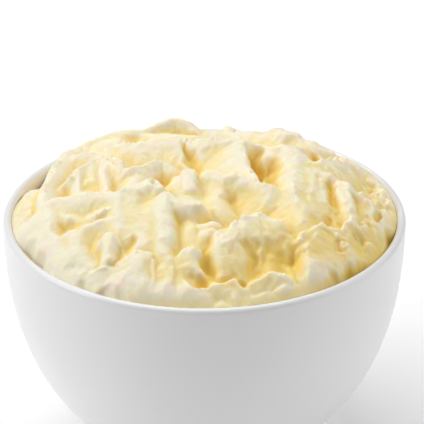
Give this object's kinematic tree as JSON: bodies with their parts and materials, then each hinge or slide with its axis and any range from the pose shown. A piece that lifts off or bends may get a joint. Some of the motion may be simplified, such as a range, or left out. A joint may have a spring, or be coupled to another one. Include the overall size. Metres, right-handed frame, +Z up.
{
  "type": "mashed potato side in a bowl",
  "caption": "Deep round white porcelain bowl on a small foot ring, heaped above its rim with mashed potato pulled into soft uneven folds.",
  "frame": {"origin": "middle of the foot, on the surface that the bowl stands on", "axes": "+Z up along the bowl's axis, -Y towards the side that is seen from the front, +X to the right seen from there"},
  "size_m": [0.1312, 0.1312, 0.0968],
  "materials": {
    "porcelain": "clear glossy glaze over a white body",
    "mash": "moist cream-yellow mashed potato, satin, slightly translucent"
  },
  "bodies": {
    "root": {"bowl": "porcelain", "mashed_potato": "mash"}
  },
  "joints": []
}
